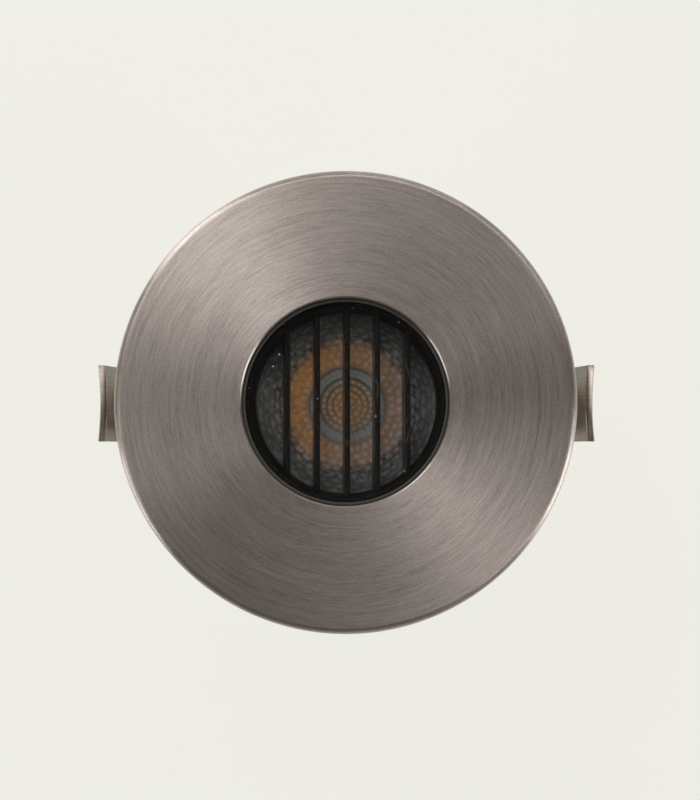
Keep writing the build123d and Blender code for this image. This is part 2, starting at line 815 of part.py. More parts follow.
def spring_foot():
    """Clip's foot on the body's flat, with the hairpin bend below it."""
    centre = (clip_bend_x, clip_bend_z)
    turn = 180 - CLIP_LEAN
    outer = CenterArc(centre, CLIP_BEND_R + CLIP_T, 180, turn)
    inner = CenterArc(centre, CLIP_BEND_R, 180, turn)
    outline = [
        Line(inner @ 0, (clip_face_x, clip_foot_z)),
        Line((clip_face_x, clip_foot_z), (clip_flat_x, clip_foot_z)),
        Line((clip_flat_x, clip_foot_z), outer @ 0),
        outer,
        Line(outer @ 1, inner @ 1),
        inner,
    ]
    strip = extrude(Plane.XZ * make_face(outline), CLIP_W / 2, both=True)
    upright = strip.edges().filter_by(Axis.X).group_by(Axis.Z)[-1]
    strip = fillet(upright, CLIP_FOOT_CORNER)
    drill = Pos(clip_flat_x, 0, 0) * Rot(0, 90, 0)
    hole = drill * disc(M3_R + SCREW_GAP, 0, CLIP_T)
    return cut_all(strip, [Pos(0, 0, z) * hole for z in clip_screw_zs])


def strip_section(x, z, lean, width, thickness, bow):
    """Cross-section of the clip's strip, its edges bowed outwards, square to the lean."""
    tilt = radians(lean)
    plane = Plane((x, 0, z), x_dir=(0, -1, 0), z_dir=(sin(tilt), 0, cos(tilt)))
    half = width / 2
    if bow == 0:
        outline = Rectangle(width, thickness, align=(Align.CENTER, Align.MIN))
        return plane * outline
    inner = ThreePointArc((-half, bow), (0, 0), (half, bow))
    outer = ThreePointArc(
        (-half, bow + thickness), (0, thickness), (half, bow + thickness)
    )
    sides = [Line(inner @ 1, outer @ 1), Line(outer @ 0, inner @ 0)]
    return plane * make_face([inner, outer] + sides)


def spring_leaf():
    """Clip's leaf from the hairpin up to the lip that grips the cut-out's wall."""
    along_x = sin(radians(CLIP_LEAN))
    along_z = cos(radians(CLIP_LEAN))
    root = strip_section(hinge_x, hinge_z, CLIP_LEAN, CLIP_W, CLIP_T, 0)
    start_share = CLIP_BOW_START / leaf_l
    start_w = CLIP_W + (CLIP_TIP_W - CLIP_W) * start_share
    middle = strip_section(
        hinge_x + CLIP_BOW_START * along_x,
        hinge_z + CLIP_BOW_START * along_z,
        CLIP_LEAN,
        start_w,
        CLIP_T,
        CLIP_BOW,
    )
    bend = strip_section(
        hinge_x + leaf_run,
        leaf_top_z,
        mitre_lean,
        CLIP_TIP_W,
        CLIP_T * mitre_stretch,
        CLIP_BOW * mitre_stretch,
    )
    edge = Pos(lip_reach, 0, lip_rise) * bend
    leaf = loft([root, middle, bend, edge], ruled=True)
    drill = Pos(hinge_x, 0, 0) * Rot(0, 90, 0)
    access = drill * disc(CLIP_ACCESS_R, -CLIP_T, leaf_run)
    return cut_all(leaf, [Pos(0, 0, z) * access for z in clip_screw_zs])


def clip_screws():
    """Low-head screws that hold both clip feet to the body."""
    one = screw(M3_R, M3_HEAD_R, M3_HEAD_H, CLIP_T + CLIP_SCREW_BITE)
    seated = [Pos(clip_face_x, 0, z) * Rot(0, 90, 0) * one for z in clip_screw_zs]
    return Compound(seated + [Rot(0, 0, 180) * part for part in seated])


PARTS = {
    "bezel": bezel(),
    "bezel_seal": bezel_seal(),
    "glass_gasket": glass_gasket(),
    "glass": glass(),
    "glass_cushion": glass_cushion(),
    "retaining_ring": retaining_ring(),
    "louvre": louvre(),
    "lens": lens(),
    "lens_holder": lens_holder(),
    "holder_screws": holder_screws(),
    "led_board": led_board(),
    "led_phosphor": led_phosphor(),
    "thermal_pad": thermal_pad(),
    "heat_spreader": heat_spreader(),
    "spreader_screws": spreader_screws(),
    "led_lead_positive": led_lead(LEAD_ANGLES[0]),
    "led_lead_negative": led_lead(LEAD_ANGLES[1]),
    "body": body(),
    "body_o_ring": body_o_ring(),
    "driver_board": driver_board(),
    "driver_inductor": driver_inductor(),
    "driver_capacitor": driver_capacitor(),
    "driver_chip": driver_chip(),
    "terminal_block": terminal_block(),
    "board_standoffs": board_standoffs(),
    "board_screws": board_screws(),
    "rear_gasket": rear_gasket(),
    "rear_cap": rear_cap(),
    "cap_screws": cap_screws(),
    "gland_o_ring": gland_o_ring(),
    "gland_body": gland_body(),
    "gland_seal": gland_seal(),
    "gland_claw": gland_claw(),
    "gland_nut": gland_nut(),
    "spring_foot_right": spring_foot(),
    "spring_foot_left": Rot(0, 0, 180) * spring_foot(),
    "spring_leaf_right": spring_leaf(),
    "spring_leaf_left": Rot(0, 0, 180) * spring_leaf(),
    "clip_screws": clip_screws(),
}

os.makedirs("parts", exist_ok=True)
for name, shape in PARTS.items():
    export_step(shape, f"parts/{name}.step")

print(f"bezel diameter {2 * bezel_r:.2f}, aperture {2 * aperture_r:.2f}")
print(f"overall height {face_z - nut_z:.2f}, clip tip at x {clip_tip_x:.2f}")
print(f"right clip hinge at x {hinge_x:.4f}, z {hinge_z:.4f}, leaf {leaf_l:.2f}")
print(f"cable gland bore from z {hex_z:.2f} to {neck_z - GLAND_SEAL_PROUD:.2f}")
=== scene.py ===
import json
import random
from math import atan2, ceil, cos, hypot, pi, radians, sin, sqrt, tan, tau

import bmesh
import bpy
from mathutils import Matrix, Vector


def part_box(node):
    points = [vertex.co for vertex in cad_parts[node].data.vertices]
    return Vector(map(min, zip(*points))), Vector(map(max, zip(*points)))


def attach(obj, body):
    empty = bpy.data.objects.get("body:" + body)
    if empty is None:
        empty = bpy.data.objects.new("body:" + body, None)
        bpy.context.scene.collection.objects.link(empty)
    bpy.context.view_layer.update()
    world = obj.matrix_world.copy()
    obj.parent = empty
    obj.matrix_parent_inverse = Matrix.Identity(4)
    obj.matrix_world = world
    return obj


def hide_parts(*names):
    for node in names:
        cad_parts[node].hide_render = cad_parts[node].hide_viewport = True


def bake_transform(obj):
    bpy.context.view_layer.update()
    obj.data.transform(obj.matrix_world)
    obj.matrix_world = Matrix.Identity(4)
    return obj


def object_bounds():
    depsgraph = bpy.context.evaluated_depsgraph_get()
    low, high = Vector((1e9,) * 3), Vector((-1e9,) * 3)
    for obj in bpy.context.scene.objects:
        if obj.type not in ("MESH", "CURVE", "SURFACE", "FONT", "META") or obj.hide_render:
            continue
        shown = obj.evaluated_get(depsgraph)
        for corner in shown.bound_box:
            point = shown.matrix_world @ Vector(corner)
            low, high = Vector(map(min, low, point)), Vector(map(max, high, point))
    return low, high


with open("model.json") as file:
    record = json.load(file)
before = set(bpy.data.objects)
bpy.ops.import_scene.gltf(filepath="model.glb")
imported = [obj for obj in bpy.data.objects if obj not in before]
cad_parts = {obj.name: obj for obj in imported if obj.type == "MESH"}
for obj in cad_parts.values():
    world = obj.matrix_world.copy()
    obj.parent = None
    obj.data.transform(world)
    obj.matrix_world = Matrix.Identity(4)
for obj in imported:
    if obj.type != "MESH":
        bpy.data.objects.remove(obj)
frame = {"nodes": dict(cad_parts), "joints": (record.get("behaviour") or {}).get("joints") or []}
cad_low, cad_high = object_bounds()

# Lengths are in metres, in the frame's own axes: +Z out of the ground, +X through the
# right-hand clip. The camera looks almost straight down, with +Y up in the picture.
MM = 0.001
# Steps in a full turn and in a quarter bend, and the angle from which an edge stays sharp
TURNS = 384
ARC_STEPS = 8
SHARP = radians(38)

# The picture's size, a pixel's size on the rim's face, and the camera's height above it
PICTURE = (700, 800)
PIXEL = 0.1722 * MM
CAMERA_HEIGHT = 500 * MM
# Picture points of the rim's centre, and of the place on its face straight below the camera
CENTRE_PX = (345.4, 401.8)
NADIR_PX = (385.0, 490.0)
# Sensor width, in millimetres
SENSOR = 36.0
# Dust on the window, and painted glints: picture place and width, in pixels
DUST_AND_GLINT_PX = (
    # The first entries, on an arc near the lens's left edge, are painted glints: pale flakes that
    # stand in for highlights on the lens's pillows
    (279.0, 354.0, 2.4),
    (273.0, 366.0, 1.9),
    (268.0, 379.0, 1.8),
    (264.0, 391.0, 1.3),
    (249.0, 388.0, 1.2),
    (341.0, 405.7, 1.1),
    (375.6, 416.3, 2.2),
    (317.5, 398.5, 1.5),
    (353.0, 308.0, 1.2),
    (284.0, 324.0, 1.1),
    (399.0, 322.0, 1.2),
    (404.0, 471.0, 2.0),
)
# Fine hairs and wipe marks on the window, as picture points
HAIRS_PX = (
    ((343, 364), (348, 364), (353, 365)),
    ((372, 376), (376, 380), (379, 386), (377, 398)),
    ((405, 362), (411, 380), (414, 400), (412, 424), (406, 443)),
    ((318, 441), (329, 443), (341, 443), (351, 441)),
    ((343, 447), (350, 443), (356, 440)),
    ((399, 432), (404, 427), (408, 419)),
)
HAIR_R = 0.022 * MM

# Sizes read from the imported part
bezel_low, bezel_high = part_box("bezel")
glass_low, glass_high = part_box("glass")
gasket_low, gasket_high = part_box("glass_gasket")
louvre_low, louvre_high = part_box("louvre")
lens_low, lens_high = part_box("lens")
face_z = bezel_high.z
bezel_r = bezel_high.x
glass_r = glass_high.x
lens_r = lens_high.x
louvre_r = louvre_high.x

CAMERA_PLACE = Vector(
    (
        (NADIR_PX[0] - CENTRE_PX[0]) * PIXEL,
        (CENTRE_PX[1] - NADIR_PX[1]) * PIXEL,
        face_z + CAMERA_HEIGHT,
    )
)

# Sizes repeated from the part's source
APERTURE_R = 18.0 * MM
POCKET_R = 22.2 * MM
SKIRT_BORE_R = 24.0 * MM
SKIRT_R = 28.0 * MM
RIM_Z = 0.3 * MM
OPENING_R = 15.75 * MM
MOUTH_R = 16.75 * MM
MOUTH_DEPTH = 1.8 * MM
SEAT_Z = -2.0 * MM
SPIGOT_W = 1.2 * MM
SPIGOT_H = 0.3 * MM
BLADES = 5
BLADE_PITCH = 5.25 * MM
BLADE_DROP = 0.5 * MM
BLADE_FOOT = 1.35 * MM
CLIP_T = 0.5 * MM
CLIP_W = 12.6 * MM
CLIP_TIP_W = 13.4 * MM
CLIP_FLAT_X = 30.5 * MM
CLIP_BEND_R = 1.2 * MM
CLIP_LEAN = radians(15)
CLIP_LIP_LEAN = radians(70)
CLIP_BOW = 0.5 * MM
CLIP_BOW_START = 10.0 * MM
CLIP_CORNER = 2.0 * MM
CLIP_ACCESS_R = 2.75 * MM
CLIP_SCREW_INSET = 4.5 * MM

# Sizes of the finer meshes alone, from the photo: a blade's width at its top and how far the
# top is set to the right, the strip's lip, the half length of the lip's bend, and the dip
# in the middle of the strip's end
BLADE_TOP = 0.88 * MM
BLADE_SET = 0.32 * MM
CLIP_LIP_L = 1.3 * MM
CLIP_LIP_BEND = 0.35 * MM
CLIP_END_DIP = 0.22 * MM


class Nodes:
    """Short calls that add and join the nodes of a material or a world."""

    def __init__(self, tree):
        self.tree = tree

    def put(self, socket, value):
        """Joins a socket to another node's output, or gives it a plain value."""
        if isinstance(value, bpy.types.NodeSocket):
            self.tree.links.new(value, socket)
        else:
            socket.default_value = value

    def add(self, kind, *values, **settings):
        """New node with its first inputs given in order."""
        node = self.tree.nodes.new("ShaderNode" + kind)
        for key, value in settings.items():
            setattr(node, key, value)
        for socket, value in zip(node.inputs, values):
            if value is not None:
                self.put(socket, value)
        return node

    def math(self, operation, *values):
        """Result of a Math node."""
        return self.add("Math", *values, operation=operation).outputs[0]

    def product(self, *values):
        """All values multiplied."""
        result = values[0]
        for value in values[1:]:
            result = self.math("MULTIPLY", result, value)
        return result

    def total(self, *values):
        """All values added."""
        result = values[0]
        for value in values[1:]:
            result = self.math("ADD", result, value)
        return result

    def place(self):
        """Position in the frame's axes, in metres."""
        return self.add("TexCoord").outputs["Object"]

    def ramp(self, factor, *stops, ease="LINEAR"):
        """Colour from a factor and stops of (position, colour or grey)."""
        node = self.add("ValToRGB", factor)
        node.color_ramp.interpolation = ease
        points = node.color_ramp.elements
        for index, (at, colour) in enumerate(stops):
            point = points[index] if index < 2 else points.new(at)
            point.position = at
            point.color = tone(colour)
        return node.outputs["Color"]

    def noise(self, where, scale, detail=2.0, rough=0.5, warp=0.0):
        """Factor of a noise texture, about 0.5 on average."""
        node = self.add("TexNoise")
        self.put(node.inputs["Vector"], where)
        self.put(node.inputs["Scale"], scale)
        self.put(node.inputs["Detail"], detail)
        self.put(node.inputs["Roughness"], rough)
        self.put(node.inputs["Distortion"], warp)
        return node.outputs["Fac"]

    def mix(self, factor, first, second, blend="MIX"):
        """Mix of two colours."""
        node = self.add("Mix", data_type="RGBA", blend_type=blend)
        self.put(node.inputs[0], factor)
        for socket, colour in ((node.inputs[6], first), (node.inputs[7], second)):
            self.put(socket, colour if isinstance(colour, bpy.types.NodeSocket) else tone(colour))
        return node.outputs[2]

    def rays(self, *kinds):
        """1 for rays of the given kinds, named as in the Light Path node, and 0 for others."""
        path = self.add("LightPath").outputs
        seen = path[f"Is {kinds[0]} Ray"]
        for kind in kinds[1:]:
            seen = self.math("MAXIMUM", seen, path[f"Is {kind} Ray"])
        return seen

    def span(self, value, low, high, start=0.0, end=1.0):
        """Maps start..end onto low..high."""
        return self.add("MapRange", value, start, end, low, high).outputs[0]

    def polar(self, middle=(0.0, 0.0)):
        """Radius about an upright line, the direction's two cosines, and the height."""
        x, y, z = self.add("SeparateXYZ", self.place()).outputs
        x, y = self.total(x, -middle[0]), self.total(y, -middle[1])
        radius = self.math("SQRT", self.total(self.product(x, x), self.product(y, y)))
        safe = self.math("MAXIMUM", radius, 0.01 * MM)
        return radius, self.math("DIVIDE", x, safe), self.math("DIVIDE", y, safe), z

    def rings(self, around, across):
        """Coordinates for marks that run in circles about Z: per radian and per metre."""
        radius, east, north, z = self.polar()
        depth = self.total(self.product(radius, across), self.product(z, across))
        sides = self.product(east, around), self.product(north, around)
        return self.add("CombineXYZ", depth, *sides).outputs[0]


class Shader(Nodes):
    """A new node material."""

    def __init__(self, name, **values):
        self.material = bpy.data.materials.new(name)
        self.material.use_nodes = True
        super().__init__(self.material.node_tree)
        self.main = self.tree.nodes["Principled BSDF"]
        self.out = self.tree.nodes["Material Output"]
        self.set(**values)

    def set(self, **values):
        """Gives the main shader's sockets values or links, by their names."""
        for key, value in values.items():
            self.put(self.main.inputs[key.replace("_", " ")], value)

    def bump(self, height, depth, strength=1.0):
        """Joins a height pattern to the shader's normal; depth is in metres."""
        node = self.add("Bump")
        self.put(node.inputs["Strength"], strength)
        self.put(node.inputs["Distance"], depth)
        self.put(node.inputs["Height"], height)
        self.set(Normal=node.outputs["Normal"])


def tone(colour):
    """Four-part colour from a grey number or a three-part colour."""
    if isinstance(colour, (int, float)):
        return (colour, colour, colour, 1.0)
    return (*colour[:3], 1.0)


def screen(red, green, blue):
    """Three-part scene colour from a colour on the usual 0 to 255 screen scale."""
    return tuple(((value / 255 + 0.055) / 1.055) ** 2.4 for value in (red, green, blue))


def shaded(colour, share):
    """A colour made darker or lighter by a share."""
    return tuple(min(1.0, part * share) for part in colour)


def spread(colour, dark, light, reach=0.15):
    """Ramp stops round a noise's average, from a darker to a lighter tone of a colour."""
    return (0.5 - reach, shaded(colour, dark)), (0.5 + reach, shaded(colour, light))


# The rim's middle tone, from which its marks go darker and lighter
STEEL = (0.455, 0.405, 0.38)


def circular_steel():
    """Stainless steel brushed in circles, with a warm grey tone."""
    s = Shader("brushed_stainless", Metallic=1.0, Anisotropic=0.86, Anisotropic_Rotation=0.25)
    long = s.noise(s.rings(1.6, 3500.0), 1.0, 2.0, 0.6)
    short = s.noise(s.rings(9.0, 4200.0), 1.0, 2.0, 0.6)
    cloud = s.noise(s.rings(2.5, 420.0), 1.0, 2.0, 0.5)
    grain = s.noise(s.place(), 3600.0, 1.0)
    marks = s.total(s.product(long, 0.3), s.product(short, 0.32))
    lines = s.total(marks, s.product(cloud, 0.1), s.product(grain, 0.28))
    s.set(
        Base_Color=s.ramp(lines, *spread(STEEL, 0.76, 1.27, reach=0.13)),
        Roughness=s.span(long, 0.33, 0.37, 0.3, 0.7),
        Tangent=s.add("Tangent", direction_type="RADIAL", axis="Z").outputs[0],
    )
    s.bump(short, 0.002 * MM, 0.25)
    return s.material


# How far the strips' faces lean towards +Y, as a slope that fades out below a place along Y
STRIP_TWIST = 0.105
TWIST_END = -2.5 * MM
TWIST_FADE = 4.0 * MM


def strip_steel():
    """Rolled spring steel, satin, with faint lines along the strip and a slight twist."""
    s = Shader("spring_stainless", Metallic=1.0)
    stretch = s.add("Mapping", s.place())
    stretch.inputs["Scale"].default_value = (120, 2600, 120)
    lines = s.noise(stretch.outputs[0], 1.0, 3.0, 0.6)
    cloud = s.noise(s.place(), 160.0, 2.0)
    colour = (0.475, 0.422, 0.365)
    s.set(
        Base_Color=s.ramp(lines, *spread(colour, 0.9, 1.1, reach=0.14)),
        Roughness=s.span(cloud, 0.3, 0.38, 0.3, 0.7),
    )
    along = s.add("SeparateXYZ", s.place()).outputs["Y"]
    twist = s.product(s.math("SMOOTH_MAX", along, TWIST_END, TWIST_FADE), -STRIP_TWIST)
    s.bump(s.total(s.product(lines, 0.0006 * MM), twist), 1.0)
    return s.material


def moulded(name, colour, rough, grain=1500.0, depth=0.01 * MM, vary=0.12, **values):
    """Moulded, coated or printed surface with fine grain and slight colour variation."""
    s = Shader(name, **values)
    small = s.noise(s.place(), grain, 3.0, 0.6)
    large = s.noise(s.place(), grain / 12, 2.0)
    s.set(
        Base_Color=s.ramp(large, *spread(colour, 1 - vary, 1 + vary)),
        Roughness=s.span(small, rough * 0.85, rough * 1.15, 0.3, 0.7),
    )
    s.bump(small, depth, 0.5)
    return s.material


def turned(name, colour, rough, pitch=6000.0, **values):
    """Metal turned on a lathe, with fine rings along its height and face."""
    s = Shader(name, Metallic=1.0, Anisotropic=0.5, Anisotropic_Rotation=0.25, **values)
    rings = s.noise(s.rings(1.5, pitch), 1.0, 3.0, 0.6)
    cloud = s.noise(s.place(), 120.0, 3.0)
    s.set(
        Base_Color=s.ramp(rings, *spread(colour, 0.82, 1.15)),
        Roughness=s.span(cloud, rough * 0.8, rough * 1.2, 0.3, 0.7),
        Tangent=s.add("Tangent", direction_type="RADIAL", axis="Z").outputs[0],
    )
    s.bump(rings, 0.01 * MM, 0.5)
    return s.material


def plated(name, colour, rough):
    """Plated or polished hardware with slight cloudiness."""
    s = Shader(name, Metallic=1.0)
    cloud = s.noise(s.place(), 260.0, 3.0, 0.5)
    s.set(
        Base_Color=s.ramp(cloud, *spread(colour, 0.93, 1.05)),
        Roughness=s.span(cloud, rough * 0.85, rough * 1.15, 0.3, 0.7),
    )
    s.bump(cloud, 0.002 * MM, 0.3)
    return s.material


def louvre_paint():
    """Satin black paint with hardly any sheen except at a low angle."""
    s = Shader("louvre_black", Specular_IOR_Level=0.15)
    small = s.noise(s.place(), 1500.0, 3.0, 0.6)
    colour = (0.0062, 0.0056, 0.005)
    s.set(
        Base_Color=s.ramp(small, *spread(colour, 0.7, 1.3)),
        Roughness=s.span(small, 0.26, 0.36, 0.3, 0.7),
    )
    s.bump(small, 0.004 * MM, 0.4)
    return s.material


def foam():
    """Closed-cell foam with small open cells on its cut edge."""
    s = Shader("seal_foam", IOR=1.45)
    cells = s.add("TexVoronoi", feature="F1")
    s.put(cells.inputs["Vector"], s.place())
    s.put(cells.inputs["Scale"], 2600.0)
    depth = cells.outputs["Distance"]
    # Painted shade: the colour is darkest in the middle of each cell, where the bump sinks deepest
    s.set(Base_Color=s.ramp(depth, (0.0, 0.012), (0.6, 0.032)), Roughness=0.9)
    s.bump(depth, 0.08 * MM, 0.8)
    return s.material


def window_glass():
    """Clear glass that lets lamps through."""
    s = Shader("window_glass", Transmission_Weight=1.0, IOR=1.5)
    haze = s.noise(s.place(), 300.0, 4.0, 0.65)
    s.set(
        Base_Color=s.ramp(haze, (0.4, (0.975, 0.98, 0.975)), (0.7, (0.945, 0.95, 0.945))),
        Roughness=s.ramp(haze, (0.5, 0.0), (0.8, 0.02)),
    )
    clear = s.add("BsdfTransparent", tone((0.94, 0.945, 0.94)))
    pick = s.add("MixShader", s.rays("Shadow"))
    s.put(pick.inputs[1], s.main.outputs[0])
    s.put(pick.inputs[2], clear.outputs[0])
    s.put(s.out.inputs["Surface"], pick.outputs[0])
    return s.material


# The lens front: small pillows in rings. Near the middle each ring has six more than the
# one inside it. Further out every ring has the same number, and the rings close up slowly.
INNER_PITCH = 1.007 * MM
INNER_SIX = 6
INNER_TWIST = 0.235
INNER_END = 6.5 * INNER_PITCH
OUTER_START = 6.8 * MM
OUTER_FIRST = 7.5 * MM
OUTER_COUNT = 38
OUTER_RATE = 0.72 / MM
OUTER_GAIN = 0.036 / MM**2
PILLOW_RISE = 0.05 * MM
# How much wider the pattern is than these sizes, and how far it sits from the middle
LENS_SPREAD = 1.04
LENS_SET = (0.2 * MM, -0.3 * MM)


def crest(value):
    """1 at whole numbers and 0 half-way between them, with a smooth wave."""
    return 0.5 + 0.5 * cos(tau * value)


def pillow(x, y):
    """Height share, 0 to 1, of the lens front at a place."""
    x, y = x - LENS_SET[0], y - LENS_SET[1]
    radius = hypot(x, y) / LENS_SPREAD
    turn = atan2(y, x) / tau % 1.0
    if radius < INNER_END:
        depth = radius / INNER_PITCH
        ring = round(depth)
        along = turn * INNER_SIX * ring + INNER_TWIST * ring
        return crest(depth) * (crest(along) if ring else 1.0)
    if radius < OUTER_START:
        return 0.0
    step = radius - OUTER_FIRST
    depth = OUTER_RATE * step + OUTER_GAIN * step**2
    return crest(depth) * crest(turn * OUTER_COUNT + 0.5 * round(depth))


def wave(s, value):
    """Nodes for the same smooth wave as crest."""
    return s.total(s.product(s.math("COSINE", s.product(value, tau)), 0.5), 0.5)


def pillow_nodes(s, radius, turn):
    """Nodes for the same pattern as pillow, and a number that differs from cell to cell."""
    inner_depth = s.product(radius, 1 / INNER_PITCH)
    inner_ring = s.math("ROUND", inner_depth)
    inner_along = s.product(inner_ring, s.total(s.product(turn, INNER_SIX), INNER_TWIST))
    step = s.total(radius, -OUTER_FIRST)
    outer_depth = s.total(s.product(step, OUTER_RATE), s.product(step, step, OUTER_GAIN))
    outer_ring = s.math("ROUND", outer_depth)
    outer_along = s.total(s.product(turn, OUTER_COUNT), s.product(outer_ring, 0.5))
    is_outer = s.math("GREATER_THAN", radius, OUTER_START)
    is_inner = s.math("LESS_THAN", radius, INNER_END)
    depth = s.mix(is_outer, inner_depth, outer_depth)
    along = s.mix(is_outer, inner_along, outer_along)
    pattern = s.product(wave(s, depth), wave(s, along))
    pattern = s.product(pattern, s.math("MAXIMUM", is_outer, is_inner))
    seed = s.add("CombineXYZ", s.math("ROUND", depth), s.math("ROUND", along)).outputs[0]
    return pattern, s.add("TexWhiteNoise", seed, noise_dimensions="3D").outputs["Value"]


# Painted colours of what the clear lens shows of the LED, its board and the black holder, as its
# pillows gather them
AMBER = screen(126, 86, 42)
RUST = screen(102, 68, 42)
PEACH = screen(122, 99, 80)
SMOKE = screen(92, 88, 82)
SLATE = screen(74, 73, 71)
DUSK = screen(47, 46, 44)
COAL = screen(34, 33, 32)

# Painted tones of the lens against radius as a share of its own: gaps between pillows, painted
# darker as shade, and pillows
LENS_GAPS = (
    (0.00, screen(88, 66, 48)),
    (0.14, screen(84, 70, 56)),
    (0.25, screen(74, 68, 62)),
    (0.28, SLATE),
    (0.31, SMOKE),
    (0.36, SLATE),
    (0.39, RUST),
    (0.57, RUST),
    (0.64, COAL),
    (0.71, DUSK),
    (1.00, DUSK),
)
LENS_PILLOWS = (
    (0.00, AMBER),
    (0.17, screen(124, 90, 60)),
    (0.25, screen(116, 92, 70)),
    (0.28, SMOKE),
    (0.37, SMOKE),
    (0.40, PEACH),
    (0.60, PEACH),
    (0.69, SMOKE),
    (0.78, SLATE),
    (1.00, SLATE),
)
# Where painted patches of the LED's full colour show through the lens
AMBER_ZONE = ((0.40, 0.0), (0.45, 0.8), (0.54, 0.8), (0.60, 0.0))
# Fine steps in the front, painted as dark rings of shade: radius and half width in millimetres, and
# depth of the painted shade
LENS_GROOVE_SHADE = (
    (1.50, 0.28, 0.25),
    (2.50, 0.28, 0.70),
    (3.53, 0.30, 0.90),
    (4.63, 0.38, 0.90),
    (5.50, 0.22, 0.35),
    (6.40, 0.42, 0.85),
    (7.30, 0.28, 0.15),
)
# The tones above are as seen through the window and the louvre's shade. This is how much
# brighter the lens is painted to show them.
LENS_GAIN = (4.0, 4.15, 4.3)
# Compass directions in which the painted light makes the colours warmest, and the painted shade of
# the fine steps is darkest
LIT_SIDE = radians(150)
GROOVE_SHADE_SIDE = radians(115)
# How far pillows stray from their rings, as a length and as a share of a turn
PILLOW_DRIFT = 1.0 * MM
PILLOW_SLIP = 0.022


def groove_shade_nodes(s, share):
    """Mask of the painted shade in the fine steps: 1 in the middle of each step and 0 between them.
    """
    stops = []
    for radius, half, depth in LENS_GROOVE_SHADE:
        for at, value in ((radius - half, 0.0), (radius, depth), (radius + half, 0.0)):
            stops.append((at * MM / lens_r, value))
    return s.ramp(share, *stops)


def towards(s, east, north, angle):
    """1 in a compass direction from the middle, -1 on the far side."""
    return s.total(s.product(east, cos(angle)), s.product(north, sin(angle)))


def loose_pillows(s, radius, turn, share):
    """The pillow pattern, which gets less even away from the middle, and its cells' seeds."""
    loose = s.span(share, 0.0, 1.0, 0.28, 0.5)
    drift = s.product(s.total(s.noise(s.place(), 560.0, 1.0), -0.5), loose)
    slip = s.product(s.total(s.noise(s.rings(9.0, 700.0), 1.0, 1.0), -0.5), loose)
    drifted = s.total(radius, s.product(drift, PILLOW_DRIFT))
    return pillow_nodes(s, drifted, s.total(turn, s.product(slip, PILLOW_SLIP)))


def ragged_zone(s, share, speck):
    """The radius share with a ragged edge, for the zones outside the smooth ring."""
    teeth = s.noise(s.rings(16.0, 260.0), 1.0, 2.0)
    ragged = s.total(s.product(speck, 0.05), s.product(teeth, 0.16), -0.105)
    return s.total(share, s.product(ragged, s.span(share, 0.0, 1.0, 0.42, 0.52)))


def lens_acrylic():
    """Painted view through the clear lens: zones of colour that the pillows gather from the LED far
    below them, with painted light and shade.
    """
    s = Shader("lens_acrylic", IOR=1.49, Roughness=0.2)
    radius, east, north, z = s.polar(LENS_SET)
    radius = s.product(radius, 1 / LENS_SPREAD)
    turn = s.math("FRACT", s.product(s.math("ARCTAN2", north, east), 1 / tau))
    share = s.product(radius, 1 / lens_r)
    pattern, seed = loose_pillows(s, radius, turn, share)
    speck = s.noise(s.place(), 1700.0, 2.0, 0.6)
    patch = s.noise(s.place(), 420.0, 2.0)
    zone = ragged_zone(s, share, speck)
    pattern = s.product(pattern, s.span(share, 0.9, 0.6, 0.3, 0.6))
    amount = s.total(pattern, s.product(seed, 0.35), s.product(speck, 1.1), -0.6)
    colour = s.mix(amount, s.ramp(zone, *LENS_GAPS), s.ramp(zone, *LENS_PILLOWS))
    # Painted light: patches of the LED's full colour, mostly on the lit side
    # How far a place lies towards the side of the painted light
    warm = towards(s, east, north, LIT_SIDE)
    glow = s.product(s.span(patch, 0.0, 1.0, 0.42, 0.58), s.ramp(zone, *AMBER_ZONE))
    colour = s.mix(s.product(glow, s.span(warm, 0.15, 1.0, -0.9, 0.7)), colour, AMBER)
    # Painted shade: less colour on the side away from the painted light, away from the middle
    unlit_fade = s.product(s.span(warm, 1.0, 0.0, -0.8, 0.9), s.span(share, 0.1, 0.6, 0.2, 0.6))
    colour = s.mix(unlit_fade, colour, s.add("RGBToBW", colour).outputs[0])
    # Painted shade in the fine steps, darkest towards one side
    shade = s.span(towards(s, east, north, GROOVE_SHADE_SIDE), 0.15, 1.0, -1.0, 0.6)
    shade = s.product(shade, s.span(speck, 0.6, 1.0, 0.35, 0.6))
    colour = s.mix(s.product(groove_shade_nodes(s, share), shade), colour, COAL)
    s.set(Base_Color=s.mix(1.0, colour, LENS_GAIN, blend="MULTIPLY"))
    return s.material


def link(piece):
    """Puts a new object in the scene."""
    bpy.context.scene.collection.objects.link(piece)
    return piece


def mesh_object(name, mesh, material, smooth=True):
    """Object from a bmesh, shaded smooth except at its sharp edges."""
    bmesh.ops.recalc_face_normals(mesh, faces=mesh.faces)
    data = bpy.data.meshes.new(name)
    mesh.to_mesh(data)
    mesh.free()
    data.materials.append(material)
    if smooth:
        data.shade_smooth()
        data.set_sharp_from_angle(angle=SHARP)
    return link(bpy.data.objects.new(name, data))


def rounded(corners):
    """Closed outline from corners of (radius, height, bend radius), bends as short runs."""
    points = []
    for index, (r, z, bend) in enumerate(corners):
        here = Vector((r, z))
        if bend == 0:
            points.append(here)
            continue
        back = (Vector(corners[index - 1][:2]) - here).normalized()
        ahead = (Vector(corners[(index + 1) % len(corners)][:2]) - here).normalized()
        half = back.angle(ahead) / 2
        run = bend / tan(half)
        start = here + back * run
        end = here + ahead * run
        centre = here + (back + ahead).normalized() * (bend / sin(half))
        sweep = (start - centre).angle_signed(end - centre)
        steps = max(3, ceil(ARC_STEPS * abs(sweep) / (pi / 2)))
        margin = min(0.02 * MM, run * 0.2)
        points.append(start + back * margin)
        for step in range(steps + 1):
            points.append(centre + Matrix.Rotation(-sweep * step / steps, 2) @ (start - centre))
        points.append(end + ahead * margin)
    return points


def around(radius, turn, height):
    """Point at a radius and an angle."""
    return (radius * cos(turn), radius * sin(turn), height)


